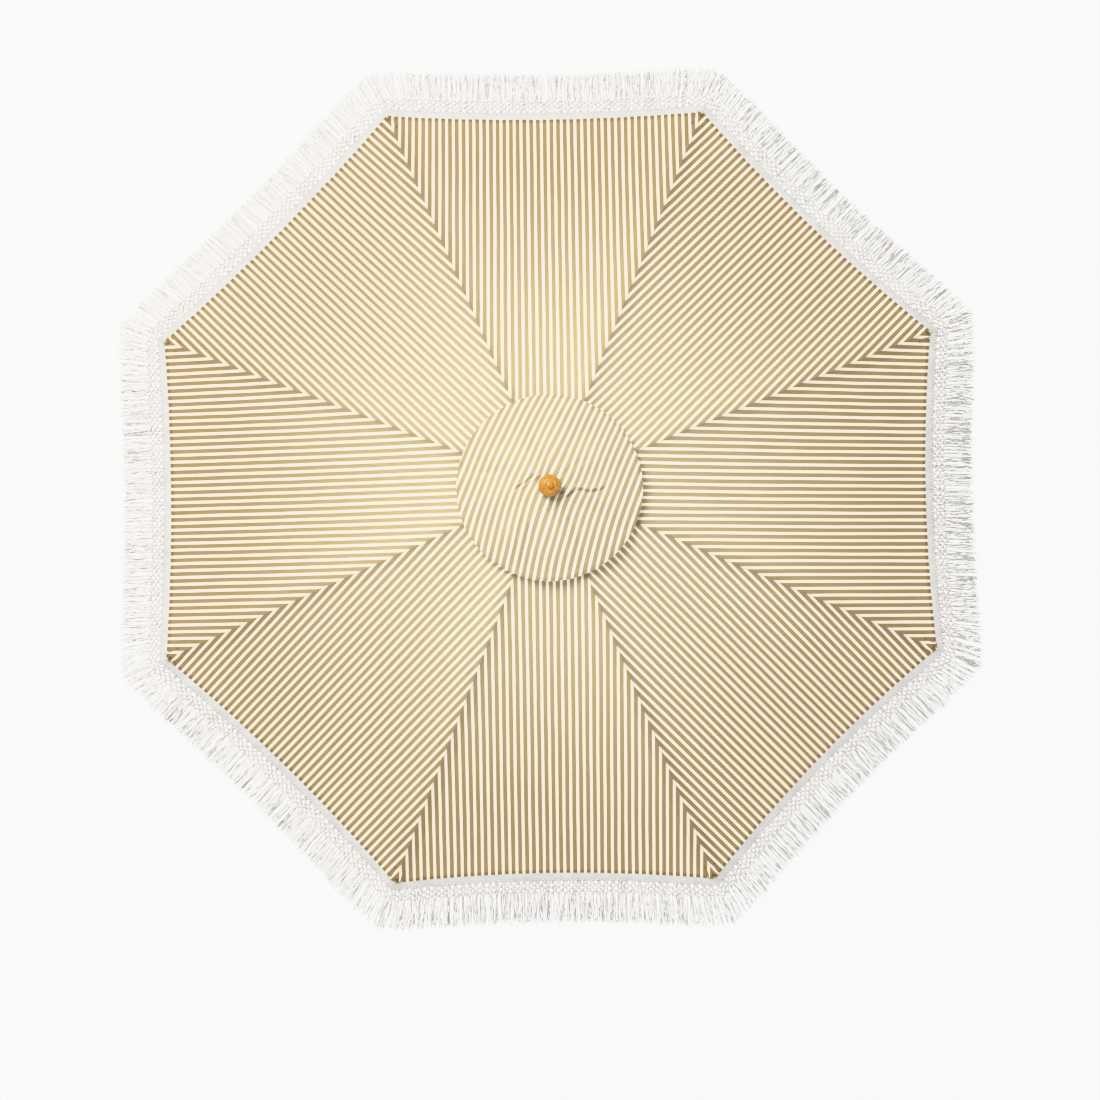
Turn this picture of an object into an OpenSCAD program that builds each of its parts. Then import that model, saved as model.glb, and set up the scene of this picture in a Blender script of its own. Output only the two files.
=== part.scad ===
// Beach umbrella, drawn open. Eight timber ribs hinge on a crown at the top of a two-piece
// pole, and a strut from a sliding runner pushes each rib up. The striped canopy has a round
// wind vent under its own cap, and a cotton fringe hangs from a header tape along the hem.
// +Z is up and the origin is the point of the sand spike. All sizes are in millimetres.
//
// The linkage is isosceles: the rib's hinge, the strut's upper pivot and the strut's foot make
// a triangle whose two long sides are equal, so the foot keeps the hinge's own radius.

/* [Canopy] */
// Diameter of the open canopy, corner to corner over two opposite ribs
canopy_d = 3000; // [2400:10:3400]
// Slope of the open ribs below the horizontal, degrees
slope = 17.5; // [12:0.5:24]
// Cloth thickness, with its coating and seams
cloth_t = 1.2; // [0.6:0.1:2]
// Diameter of the wind vent's opening
vent_d = 480; // [300:10:600]
// Deepest sag of each panel between its two ribs
panel_sag = 34; // [0:1:60]
// Hollow of each hem between its two corners, seen from above
hem_hollow = 22; // [0:1:60]

/* [Vent cap] */
// Diameter of the round cap over the vent
cap_d = 650; // [500:10:800]
// Slope of the cap below the horizontal, degrees
cap_slope = 16; // [10:0.5:20]

/* [Fringe] */
// Length of header tape and strands along the cloth's fall
fringe_l = 198; // [80:2:240]
// Thickness of the knotted cotton
fringe_t = 1.5; // [1:0.1:4]
// Steepest fall of the strands at their ends, degrees below the horizontal
fringe_fall = 30; // [26:1:90]

/* [Ribs and struts] */
// Rib width across
rib_w = 18; // [12:1:24]
// Rib depth at the crown
rib_h = 24; // [16:1:30]
// Rib depth at the tip
rib_tip_h = 15; // [10:1:24]
// Distance of the rib hinge, and of the strut's foot, from the pole's axis
pivot_r = 45; // [40:1:60]
// Height of the rib hinges above the spike's point
pivot_z = 2440; // [2200:10:2700]
// Strut length between its pivots
strut_l = 620; // [500:5:700]
// Strut width and depth
strut_w = 16; // [12:1:20]
// Drop of the strut's upper pivot below the rib's centre line
lug_drop = 23; // [20:1:30]

/* [Pole] */
// Diameter of the lower pole
pole_d = 38; // [30:1:50]
// Diameter of the upper pole, on which the runner slides
mast_d = 36; // [28:1:48]
// Height of the joint between the two poles
joint_z = 1035; // [900:5:1040]
// Length of the lower pole's plain round, from the sand spike to the ferrule
foot_grip_l = 825; // [600:5:900]

/* [Finial] */
// Largest diameter of the turned knob
finial_d = 78; // [50:1:100]
// Height of the knob over the cap
finial_h = 78; // [50:1:110]

/* [Hidden] */
$fn = 64;
ribs = 8;
half = 180 / ribs;
pin_gap = 0.05;                       // running clearance around the linkage pins
hinge_pin_r = 2.5;
lug_pin_r = 3;
slide_gap = 0.08;                     // running clearance of runner and ferrule on the mast

canopy_r = canopy_d / 2;
vent_r = vent_d / 2;
cloth_lift = 16;                      // cloth underside above the rib's centre line, square to it
tip_spigot = 18;
cap_end = 7.6;
rib_l = (canopy_r - pivot_r) / cos(slope);           // hinge to the end of the tip cap
bar_l = rib_l - tip_spigot - cap_end;
tip_z = rib_h / 2 - rib_tip_h / 2;                   // the tip's centre, square to the rib
lug_x = sqrt(strut_l * strut_l - lug_drop * lug_drop);
lug_tilt = asin(lug_drop / strut_l);
strut_slope = slope + lug_tilt;
runner_z = pivot_z - 2 * strut_l * sin(strut_slope); // height of the struts' feet
spike_top = joint_z - 60 - foot_grip_l;              // shoulder that the spike's socket meets
crown_top = pivot_z + 22;
cap_top = crown_top + cloth_t;
knob_z = cap_top + 2;

wood_colour = [0.72, 0.47, 0.24];
pole_colour = [0.76, 0.53, 0.30];
knob_colour = [0.70, 0.39, 0.14];
brass_colour = [0.80, 0.66, 0.36];
steel_colour = [0.72, 0.72, 0.72];
cloth_colour = [0.74, 0.62, 0.42];
cotton_colour = [0.95, 0.93, 0.88];

function rib_az(i) = half + (i - 1) * 2 * half;

// Underside of the cloth over a rib, at distance r from the axis
function seam_z(r) = pivot_z + cloth_lift / cos(slope) - (r - pivot_r) * tan(slope);

// A point of the cloth's underside. g is the panel, u runs from -1 to 1 between its two
// ribs, and t from 0 at the vent to 1 at the hem.
function panel_r(t) = vent_r + (canopy_r - vent_r) * t;
function cloth_point(g, u, t, up) =
    let (r = panel_r(t),
         across = u * r * sin(half),
         along = r * cos(half) - hem_hollow * t * t * (1 - u * u),
         az = g * 2 * half,
         z = seam_z(r) - (panel_sag * sin(180 * min(t, 1)) + 10 * t) * (1 - u * u))
    [along * cos(az) - across * sin(az), along * sin(az) + across * cos(az), z + up];

// A point of the fringe. s runs from 0 at the hem to 1 at the strands' ends. The strands
// leave the hem square, and turn towards the rib's own direction at a corner.
fall_rate = fringe_fall - slope;
function fringe_out(s) = fringe_l * (sin(slope + fall_rate * s) - sin(slope)) / fall_rate * 180 / PI;
function fringe_drop(s) = fringe_l * (cos(slope) - cos(slope + fall_rate * s)) / fall_rate * 180 / PI;
function fringe_point(g, u, s, up) =
    let (p = cloth_point(g, u, 1, up),
         turn = g * 2 * half + half * sign(u) * pow(abs(u), 6))
    [p[0] + fringe_out(s) * cos(turn), p[1] + fringe_out(s) * sin(turn), p[2] - fringe_drop(s)];

// Faces of a closed skin that is c columns round and n + 1 rows out, with its upper
// points first and its lower points after them
function skin_faces(c, n) =
    let (m = c * (n + 1))
    concat(
        [for (k = [0 : n - 1], j = [0 : c - 1]) let (a = k * c + j, b = k * c + (j + 1) % c)
            each [[a, b, a + c], [b, b + c, a + c]]],
        [for (k = [0 : n - 1], j = [0 : c - 1]) let (a = m + k * c + j, b = m + k * c + (j + 1) % c)
            each [[a, a + c, b], [b, a + c, b + c]]],
        [for (j = [0 : c - 1]) let (a = j, b = (j + 1) % c)
            each [[a, a + m, b], [b, a + m, b + m]]],
        [for (j = [0 : c - 1]) let (a = n * c + j, b = n * c + (j + 1) % c)
            each [[a, b, a + m], [b, b + m, a + m]]]);

module on_rib(i)
    rotate([0, 0, rib_az(i)]) translate([pivot_r, 0, pivot_z]) rotate([0, slope, 0]) children();

module on_strut(i)
    rotate([0, 0, rib_az(i)]) translate([pivot_r, 0, runner_z]) rotate([0, -strut_slope, 0]) children();

// A flat profile stood on edge, x outwards and y upwards, and given a width across
module across(w)
    rotate([90, 0, 0]) linear_extrude(height = w, center = true) children();

module cross_pin(r, w)
    rotate([90, 0, 0]) cylinder(r = r, h = w, center = true);

// Rib bar: round end with the hinge eye, straight back, underside tapering to the tip
module rib_bar() {
    taper_x = lug_x + 60;
    difference() {
        union() {
            across(rib_w) {
                circle(r = rib_h / 2);
                polygon([[0, -rib_h / 2], [taper_x, -rib_h / 2], [bar_l, rib_h / 2 - rib_tip_h],
                         [bar_l, rib_h / 2], [0, rib_h / 2]]);
            }
            translate([bar_l - 1, 0, tip_z]) rotate([0, 90, 0]) cylinder(r = 5, h = tip_spigot + 1);
        }
        cross_pin(hinge_pin_r + pin_gap, rib_w + 2);
        for (dx = [-18, 18]) translate([lug_x + dx, 0, 2]) cross_pin(2, rib_w + 2);
    }
}

// Saddle under the rib with two cheeks for the strut's pivot and two rivets through the rib
module bracket_body() translate([lug_x, 0, 0]) {
    difference() {
        for (side = [-1, 1]) translate([0, side * (rib_w / 2 + 1), 0]) across(2) {
            polygon([[-28, 8], [28, 8], [28, -6], [9, -lug_drop], [-9, -lug_drop], [-28, -6]]);
            translate([0, -lug_drop]) circle(r = 9);
        }
        translate([0, 0, -lug_drop]) cross_pin(lug_pin_r, rib_w + 6);
    }
    translate([-10, -rib_w / 2 - 1, -rib_h / 2 - 1.4]) cube([20, rib_w + 2, 1.4]);
    for (dx = [-18, 18]) translate([dx, 0, 2]) {
        cross_pin(2, rib_w + 4);
        for (side = [-1, 1]) translate([0, side * (rib_w / 2 + 2.5), 0]) cross_pin(3.6, 1.2);
    }
}

module bracket_pin_body() translate([lug_x, 0, -lug_drop]) {
    cross_pin(lug_pin_r, rib_w + 4);
    for (side = [-1, 1]) translate([0, side * (rib_w / 2 + 2.8), 0]) cross_pin(5.5, 1.6);
}

// Turned cup over the rib's spigot, with a rounded end
module tip_cap_body() translate([bar_l, 0, tip_z]) rotate([0, 90, 0]) rotate_extrude()
    polygon(concat([[5, 0], [7.5, 0], [7.5, 20]],
        [for (a = [15 : 15 : 75]) [1 + 6.5 * cos(a), 19.1 + 6.5 * sin(a)]],
        [[0, tip_spigot + cap_end], [0, tip_spigot], [5, tip_spigot]]));

// Strut bar: round ends, an eye for the bracket's pin, and trunnions at the foot
module strut_bar() difference() {
    union() {
        across(strut_w) {
            circle(r = strut_w / 2);
            translate([strut_l, 0]) circle(r = strut_w / 2);
            translate([0, -strut_w / 2]) square([strut_l, strut_w]);
        }
        cross_pin(lug_pin_r, strut_w + 6);
    }
    translate([strut_l, 0, 0]) cross_pin(lug_pin_r + pin_gap, strut_w + 2);
}

module ground_spike() color(steel_colour) difference() {
    rotate_extrude()
        polygon([[0, 0], [2, 1.5], [16, spike_top - 55], [18, spike_top - 45], [18, spike_top],
                 [14, spike_top], [14, spike_top - 60], [0, spike_top - 60]]);
    translate([0, 0, spike_top - 30]) cross_pin(2.5, 60);
}

module spike_pin() color(steel_colour)
    translate([0, 0, spike_top - 30]) cross_pin(2.5, 36);

// Lower pole: spigot for the spike, plain round for the base or the sand, spigot for the ferrule
module pole_lower() color(pole_colour) difference() {
    union() {
        translate([0, 0, spike_top - 60]) cylinder(r = 14, h = 61);
        translate([0, 0, spike_top]) cylinder(d = pole_d, h = foot_grip_l);
        translate([0, 0, spike_top + foot_grip_l - 1]) cylinder(d = pole_d - 4, h = 61);
    }
    translate([0, 0, spike_top - 30]) cross_pin(2.5, 60);
    translate([0, 0, joint_z - 35]) cross_pin(2.5, 60);
}

// Brass sleeve, fixed on the lower pole and holding the mast, with a boss for its thumb screw
module ferrule() color(brass_colour) difference() {
    union() {
        translate([0, 0, joint_z - 60]) cylinder(r = 22, h = 130);
        for (z = [joint_z - 60, joint_z + 64]) translate([0, 0, z]) cylinder(r = 23.2, h = 6);
        translate([0, 0, joint_z + 35]) rotate([0, 90, 0]) cylinder(r = 8, h = 31);
    }
    translate([0, 0, joint_z - 61]) cylinder(d = pole_d - 4, h = 61);
    translate([0, 0, joint_z]) cylinder(r = mast_d / 2 + slide_gap, h = 71);
    translate([0, 0, joint_z - 35]) cross_pin(2.5, 60);
    translate([0, 0, joint_z + 35]) rotate([0, 90, 0]) cylinder(r = 4 + pin_gap, h = 40);
}

module ferrule_pin() color(steel_colour)
    translate([0, 0, joint_z - 35]) cross_pin(2.5, 46);

// Thumb screw along +X from the origin: shank, round hub and an upright wing
module thumb_screw(tip, seat, wing_l) {
    translate([tip, 0, 0]) rotate([0, 90, 0]) cylinder(r = 4, h = seat - tip + 1);
    translate([seat + 0.4, 0, 0]) rotate([0, 90, 0]) cylinder(r = 4.8, h = 4.6);
    translate([seat + 4, -2.4, 0]) rotate([90, 0, 0]) mirror([0, 0, 1])
        linear_extrude(height = 4.8) difference() {
            union() {
                translate([0, -9]) square([wing_l - 7, 18]);
                for (side = [-1, 1]) translate([wing_l - 8, side * 8]) circle(r = 7);
            }
            translate([wing_l, 0]) circle(r = 5);
        }
}

module ferrule_screw() color(brass_colour)
    translate([0, 0, joint_z + 35]) thumb_screw(mast_d / 2 + 0.6, 31, 22);

// Upper pole, held in the ferrule below and in the crown above
module pole_upper() color(pole_colour) difference() {
    translate([0, 0, joint_z + 0.2]) cylinder(d = mast_d, h = pivot_z + 8 - joint_z - 0.2);
    translate([0, 0, pivot_z - 25]) cylinder(r = 4, h = 40);
    translate([0, 0, pivot_z - 35]) cross_pin(3, 60);
}

// Turned crown: eight rib slots open below and outwards, and a groove for the hinge ring
module crown() color(wood_colour) difference() {
    translate([0, 0, pivot_z]) rotate_extrude()
        polygon([[0, -44], [25, -44], [27, -42], [27, -26], [40, -22], [54, -22], [57, -19],
                 [57, 12], [55.5, 17], [51, 21], [48, 22], [0, 22]]);
    translate([0, 0, pivot_z - 50]) cylinder(d = mast_d, h = 58);
    translate([0, 0, pivot_z]) cylinder(r = 4, h = 40);
    for (i = [1 : ribs]) rotate([0, 0, rib_az(i)])
        translate([28, -rib_w / 2 - 0.6, pivot_z - 60]) cube([40, rib_w + 1.2, 74]);
    translate([0, 0, pivot_z - 2.6]) rotate_extrude() translate([41.5, 0]) square([30, 5.2]);
    translate([0, 0, pivot_z - 35]) cross_pin(3, 60);
}

// Steel wire ring bent to an octagon, drawn as its eight straight lengths, one through each rib's eye
module crown_ring() color(steel_colour) for (i = [1 : ribs]) rotate([0, 0, rib_az(i)])
    translate([pivot_r, 0, pivot_z]) cross_pin(hinge_pin_r, 2 * (pivot_r - hinge_pin_r) * tan(half) - 0.6);

module crown_peg() color(pole_colour)
    translate([0, 0, pivot_z - 35]) cross_pin(3, 53);

// Turned runner: eight strut slots with trunnion grooves, a grip below and a boss for its screw
module runner() color(wood_colour) translate([0, 0, runner_z]) difference() {
    union() {
        rotate_extrude() polygon([[0, -78], [31, -78], [33, -76], [33, -71], [30, -67], [29.5, -32],
                                  [40, -24], [50, -24], [52, -22], [52, 20], [49, 24], [30, 26],
                                  [28, 36], [0, 36]]);
        translate([0, 0, -50]) rotate([0, 90, 0]) cylinder(r = 6, h = 34);
    }
    translate([0, 0, -80]) cylinder(r = mast_d / 2 + slide_gap, h = 120);
    for (i = [1 : ribs]) rotate([0, 0, rib_az(i)]) {
        translate([33.5, -strut_w / 2 - 0.6, -60]) cube([30, strut_w + 1.2, 120]);
        translate([pivot_r - 3.2, -strut_w / 2 - 3.6, -60]) cube([6.4, strut_w + 7.2, 120]);
    }
    translate([0, 0, -50]) rotate([0, 90, 0]) cylinder(r = 4 + pin_gap, h = 40);
}

module runner_screw() color(brass_colour)
    translate([0, 0, runner_z - 50]) thumb_screw(mast_d / 2 + 0.6, 34, 18);

module cap_washer() color(brass_colour) translate([0, 0, cap_top]) difference() {
    cylinder(r = 28, h = 2);
    translate([0, 0, -1]) cylinder(r = 4, h = 4);
}

module finial_stud() color(steel_colour)
    translate([0, 0, pivot_z - 25]) cylinder(r = 4, h = knob_z + 34 - (pivot_z - 25));

// Turned knob: round foot, narrow neck, full ball and a small nub on top
module finial() color(knob_colour) translate([0, 0, knob_z]) difference() {
    rotate_extrude() polygon(concat(
        [[0, 0], [29, 0], [31, 2], [31, 5], [28, 8], [23, 10.5], [22, 13]],
        [for (k = [0 : 20]) let (a = -54 + k * 126 / 20)
            [finial_d / 2 * cos(a), 40 + 30 * sin(a) * (finial_h - 10) / 68]],
        [[10.4, finial_h - 9], [10.4, finial_h - 5], [9, finial_h - 2.2], [6, finial_h - 0.6],
         [0, finial_h]]));
    translate([0, 0, -1]) cylinder(r = 4, h = 35);
}

// Round cap of cloth, held between crown and knob
module vent_cap() color(cloth_colour) translate([0, 0, crown_top]) rotate_extrude($fn = 96)
    polygon([[4, 0], [50, 0], [cap_d / 2, -(cap_d / 2 - 50) * tan(cap_slope)],
             [cap_d / 2, -(cap_d / 2 - 50) * tan(cap_slope) + cloth_t], [50, cloth_t], [4, cloth_t]]);

canopy_rows = 9;
panel_columns = 8;
module canopy() color(cloth_colour) polyhedron(
    points = [for (up = [cloth_t, 0], k = [0 : canopy_rows], g = [0 : ribs - 1],
                   j = [0 : panel_columns - 1])
        cloth_point(g, -1 + 2 * j / panel_columns, k / canopy_rows, up)],
    faces = skin_faces(ribs * panel_columns, canopy_rows), convexity = 6);

// Header tape lapped under the hem, with its strands lying outwards
lap = 14 / (canopy_r - vent_r);
module fringe() color(cotton_colour) polyhedron(
    points = [for (up = [-0.8, -0.8 - fringe_t], k = [0 : 5], g = [0 : ribs - 1],
                   j = [0 : panel_columns - 1])
        let (u = -1 + 2 * j / panel_columns)
        k == 0 ? cloth_point(g, u, 1 - lap, up) : fringe_point(g, u, (k - 1) / 4, up)],
    faces = skin_faces(ribs * panel_columns, 5), convexity = 6);

// One module for each rib's pieces, counted anticlockwise from the rib at 22.5 degrees
module rib_1() color(wood_colour) on_rib(1) rib_bar();
module rib_2() color(wood_colour) on_rib(2) rib_bar();
module rib_3() color(wood_colour) on_rib(3) rib_bar();
module rib_4() color(wood_colour) on_rib(4) rib_bar();
module rib_5() color(wood_colour) on_rib(5) rib_bar();
module rib_6() color(wood_colour) on_rib(6) rib_bar();
module rib_7() color(wood_colour) on_rib(7) rib_bar();
module rib_8() color(wood_colour) on_rib(8) rib_bar();
module bracket_1() color(brass_colour) on_rib(1) bracket_body();
module bracket_2() color(brass_colour) on_rib(2) bracket_body();
module bracket_3() color(brass_colour) on_rib(3) bracket_body();
module bracket_4() color(brass_colour) on_rib(4) bracket_body();
module bracket_5() color(brass_colour) on_rib(5) bracket_body();
module bracket_6() color(brass_colour) on_rib(6) bracket_body();
module bracket_7() color(brass_colour) on_rib(7) bracket_body();
module bracket_8() color(brass_colour) on_rib(8) bracket_body();
module bracket_pin_1() color(steel_colour) on_rib(1) bracket_pin_body();
module bracket_pin_2() color(steel_colour) on_rib(2) bracket_pin_body();
module bracket_pin_3() color(steel_colour) on_rib(3) bracket_pin_body();
module bracket_pin_4() color(steel_colour) on_rib(4) bracket_pin_body();
module bracket_pin_5() color(steel_colour) on_rib(5) bracket_pin_body();
module bracket_pin_6() color(steel_colour) on_rib(6) bracket_pin_body();
module bracket_pin_7() color(steel_colour) on_rib(7) bracket_pin_body();
module bracket_pin_8() color(steel_colour) on_rib(8) bracket_pin_body();
module tip_cap_1() color(brass_colour) on_rib(1) tip_cap_body();
module tip_cap_2() color(brass_colour) on_rib(2) tip_cap_body();
module tip_cap_3() color(brass_colour) on_rib(3) tip_cap_body();
module tip_cap_4() color(brass_colour) on_rib(4) tip_cap_body();
module tip_cap_5() color(brass_colour) on_rib(5) tip_cap_body();
module tip_cap_6() color(brass_colour) on_rib(6) tip_cap_body();
module tip_cap_7() color(brass_colour) on_rib(7) tip_cap_body();
module tip_cap_8() color(brass_colour) on_rib(8) tip_cap_body();
module strut_1() color(wood_colour) on_strut(1) strut_bar();
module strut_2() color(wood_colour) on_strut(2) strut_bar();
module strut_3() color(wood_colour) on_strut(3) strut_bar();
module strut_4() color(wood_colour) on_strut(4) strut_bar();
module strut_5() color(wood_colour) on_strut(5) strut_bar();
module strut_6() color(wood_colour) on_strut(6) strut_bar();
module strut_7() color(wood_colour) on_strut(7) strut_bar();
module strut_8() color(wood_colour) on_strut(8) strut_bar();

rib_1();
rib_2();
rib_3();
rib_4();
rib_5();
rib_6();
rib_7();
rib_8();
bracket_1();
bracket_2();
bracket_3();
bracket_4();
bracket_5();
bracket_6();
bracket_7();
bracket_8();
bracket_pin_1();
bracket_pin_2();
bracket_pin_3();
bracket_pin_4();
bracket_pin_5();
bracket_pin_6();
bracket_pin_7();
bracket_pin_8();
tip_cap_1();
tip_cap_2();
tip_cap_3();
tip_cap_4();
tip_cap_5();
tip_cap_6();
tip_cap_7();
tip_cap_8();
strut_1();
strut_2();
strut_3();
strut_4();
strut_5();
strut_6();
strut_7();
strut_8();
pole_lower();
ground_spike();
spike_pin();
ferrule();
ferrule_pin();
ferrule_screw();
pole_upper();
crown();
crown_ring();
crown_peg();
runner();
runner_screw();
cap_washer();
finial_stud();
finial();
vent_cap();
canopy();
fringe();
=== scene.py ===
"""Looks for the beach umbrella: striped canopy and vent cap, cotton fringe, timber, brass and steel."""

import math

import bpy
import numpy as np
from mathutils import Matrix, Vector, noise


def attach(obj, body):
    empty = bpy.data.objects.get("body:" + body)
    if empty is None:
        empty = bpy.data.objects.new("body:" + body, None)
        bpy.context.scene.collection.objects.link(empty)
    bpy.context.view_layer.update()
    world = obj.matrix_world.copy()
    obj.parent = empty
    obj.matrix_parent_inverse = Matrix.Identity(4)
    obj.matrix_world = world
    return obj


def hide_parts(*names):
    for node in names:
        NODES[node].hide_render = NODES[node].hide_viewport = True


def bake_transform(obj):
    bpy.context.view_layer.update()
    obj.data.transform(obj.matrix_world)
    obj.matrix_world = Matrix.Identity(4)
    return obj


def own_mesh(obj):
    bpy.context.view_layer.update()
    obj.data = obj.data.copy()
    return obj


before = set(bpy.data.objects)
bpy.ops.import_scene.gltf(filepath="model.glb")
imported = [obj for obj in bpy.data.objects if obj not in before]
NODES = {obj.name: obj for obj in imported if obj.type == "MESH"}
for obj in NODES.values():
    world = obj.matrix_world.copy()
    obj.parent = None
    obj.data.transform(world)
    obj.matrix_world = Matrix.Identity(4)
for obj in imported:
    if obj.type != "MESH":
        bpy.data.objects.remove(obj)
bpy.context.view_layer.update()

# ------------------------ sizes, in metres, as in the CAD
RIBS = 8
HALF = math.radians(22.5)                   # half the angle between two ribs
SLOPE = math.radians(17.5)                  # fall of the open ribs
STRUT_SLOPE = math.radians(19.63)
PIVOT_R, PIVOT_Z = 0.045, 2.440             # the ribs' hinge ring
CLOTH_LIFT, CLOTH_T = 0.016, 0.0012         # underside over the rib's centre line, and thickness
VENT_R, CANOPY_R = 0.240, 1.500             # the seams' two ends
CAP_R, CAP_SLOPE = 0.325, math.radians(16.0)
CROWN_TOP, KNOB_Z = 2.462, 2.4652
FRINGE_L = 0.198
FALL_A, FALL_B = SLOPE, math.radians(30.0)  # fall of the fringe at the hem and at its end

# ------------------------ sizes of cloth and fringe
SAG, HOLLOW = 0.034, 0.024      # a panel's middle below its ribs, and its hem inside the corners' line
HOLLOW_CHANGE = 0.006           # the panels don't all hang alike
STRIPE, TAN_SHARE = 0.0245, 0.615
WEAVE, TWILL = 0.0013, 0.0032   # pitch of the canvas's yarns and of the tape's ribs
HEM_FOLD, SEAM_FOLD = 0.0115, 0.0062
HEM_STITCH, SEAM_STITCHES = 0.0085, (0.0018, 0.0050)
BAND_IN, BAND_OUT = 0.026, 0.043  # half width of the doubled cloth at a rib's two ends
CAP_HINGE = 0.060               # where the cap starts to fold down with the ribs
HEM_HALF = CANOPY_R * math.sin(HALF)
CORDS = 47                      # fringe cords over half a panel
CORD_PITCH = HEM_HALF / CORDS
LAP, TAPE_W = 0.014, 0.029      # the fringe's tape inside and outside the hem
KNOT_ROWS = (0.0375, 0.0475, 0.0575, 0.0675, 0.0775)
NET_START, STRAND_START = 0.0268, 0.026
LONGEST_STRAND, LONGEST_FIBRE = 0.2050, 0.2070
ROUND = 6.28                    # one turn, as a range for a random phase
TINY = 1e-6                     # keeps divisions and angles defined
NO_SEAM = 0.5                   # distance to the seam, on cloth without one


def rib_azimuth(i):
    return HALF + (i - 1) * 2 * HALF


def smooth(a, b, x):
    """0 below a, 1 above b, smooth between them."""
    t = np.clip((np.asarray(x, float) - a) / (b - a), 0, 1)
    return t * t * (3 - 2 * t)


def perlin(x, y, z=0.0):
    x, y, z = np.broadcast_arrays(*(np.asarray(a, float) for a in (x, y, z)))
    flat = [noise.noise((a, b, c)) for a, b, c in zip(x.ravel(), y.ravel(), z.ravel())]
    return np.array(flat).reshape(x.shape)


# ------------------------ mesh building
def placed(points, matrix):
    m = np.array(matrix)
    return points @ m[:3, :3].T + m[:3, 3]


class Shape:
    """Quads gathered from several grids and tubes, with UVs in metres for each corner."""

    def __init__(self):
        self.points, self.quads, self.uvs, self.edges = [], [], [], []
        self.count = 0

    def add(self, points, quads, uv, edge=None):
        points = np.asarray(points, float).reshape(-1, 3)
        quads = np.asarray(quads, int).reshape(-1, 4)
        self.points.append(points)
        self.quads.append(quads + self.count)
        uv = np.asarray(uv, float).reshape(-1, 2)
        self.uvs.append(uv)
        self.edges.append(np.zeros_like(uv) if edge is None else np.asarray(edge, float).reshape(-1, 2))
        self.count += len(points)

    def grid(self, points, uv, edge=None, flip=False):
        """points is (rows, columns, 3); uv and edge are (rows, columns, 2)."""
        rows, cols = points.shape[:2]
        a = (np.arange(rows - 1)[:, None] * cols + np.arange(cols - 1)[None, :]).ravel()
        quads = np.stack([a, a + 1, a + cols + 1, a + cols], 1)
        if flip:
            quads = quads[:, ::-1]
        corner = quads.ravel()
        self.add(points, quads, uv.reshape(-1, 2)[corner],
                 None if edge is None else edge.reshape(-1, 2)[corner])

    def tube(self, path, radius, sides):
        """A yarn along path, open at its ends, with u once round it and v in metres along it."""
        path = np.asarray(path, float)
        n = len(path)
        radius = np.broadcast_to(np.asarray(radius, float), (n,))
        along = np.gradient(path, axis=0)
        along /= np.linalg.norm(along, axis=1, keepdims=True) + 1e-12
        side = np.cross(along, (0.0, 0.0, 1.0))
        side /= np.linalg.norm(side, axis=1, keepdims=True) + 1e-12
        top = np.cross(side, along)
        turn = 2 * math.pi * np.arange(sides) / sides
        ring = (path[:, None, :] + radius[:, None, None] *
                (np.cos(turn)[None, :, None] * side[:, None, :]
                 + np.sin(turn)[None, :, None] * top[:, None, :]))
        length = np.concatenate([[0], np.cumsum(np.linalg.norm(np.diff(path, axis=0), axis=1))])
        j, k = np.meshgrid(np.arange(n - 1), np.arange(sides), indexing="ij")
        j, k = j.ravel(), k.ravel()
        k2 = (k + 1) % sides
        quads = np.stack([j * sides + k, j * sides + k2, (j + 1) * sides + k2, (j + 1) * sides + k], 1)
        u0, u1 = k / sides, (k + 1) / sides
        uv = np.stack([np.stack([u0, length[j]], 1), np.stack([u1, length[j]], 1),
                       np.stack([u1, length[j + 1]], 1), np.stack([u0, length[j + 1]], 1)], 1)
        self.add(ring, quads, uv)

    def lathe(self, profile, sides, place):
        """A profile of (radius, height) turned about local Z, and set in place by a matrix."""
        profile = np.asarray(profile, float)
        turn = 2 * math.pi * np.arange(sides + 1) / sides
        points = np.stack([profile[:, 0][:, None] * np.cos(turn), profile[:, 0][:, None] * np.sin(turn),
                           np.broadcast_to(profile[:, 1][:, None], (len(profile), sides + 1))], 2)
        length = np.concatenate([[0], np.cumsum(np.linalg.norm(np.diff(profile, axis=0), axis=1))])
        uv = np.stack(np.broadcast_arrays(turn[None, :] / (2 * math.pi), length[:, None]), 2)
        self.grid(placed(points, place), uv)

    def piece(self, name, body, slot, material, smooth_faces=True):
        """The mesh as an object that rides on a body, unless body is None."""
        points = np.concatenate(self.points)
        quads = np.concatenate(self.quads)
        mesh = bpy.data.meshes.new(name)
        mesh.from_pydata(points.tolist(), [], quads.tolist())
        for layer, values in (("cloth", self.uvs), ("edge", self.edges)):
            uv = mesh.uv_layers.new(name=layer)
            uv.data.foreach_set("uv", np.concatenate(values).astype(np.float32).ravel())
        mesh.polygons.foreach_set("use_smooth", [smooth_faces] * len(mesh.polygons))
        mesh.materials.append(material)
        mesh.update()
        obj = bpy.data.objects.new(name, mesh)
        bpy.context.scene.collection.objects.link(obj)
        if body is not None:
            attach(obj, body)
        return obj


# ------------------------ camera, floor and light
AIM_Z = 1.6                     # where the lamps point
FLOOR_SIDE = 90.0
GLOW = 1.62                     # of the floor, the same as the sky at the horizon


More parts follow.
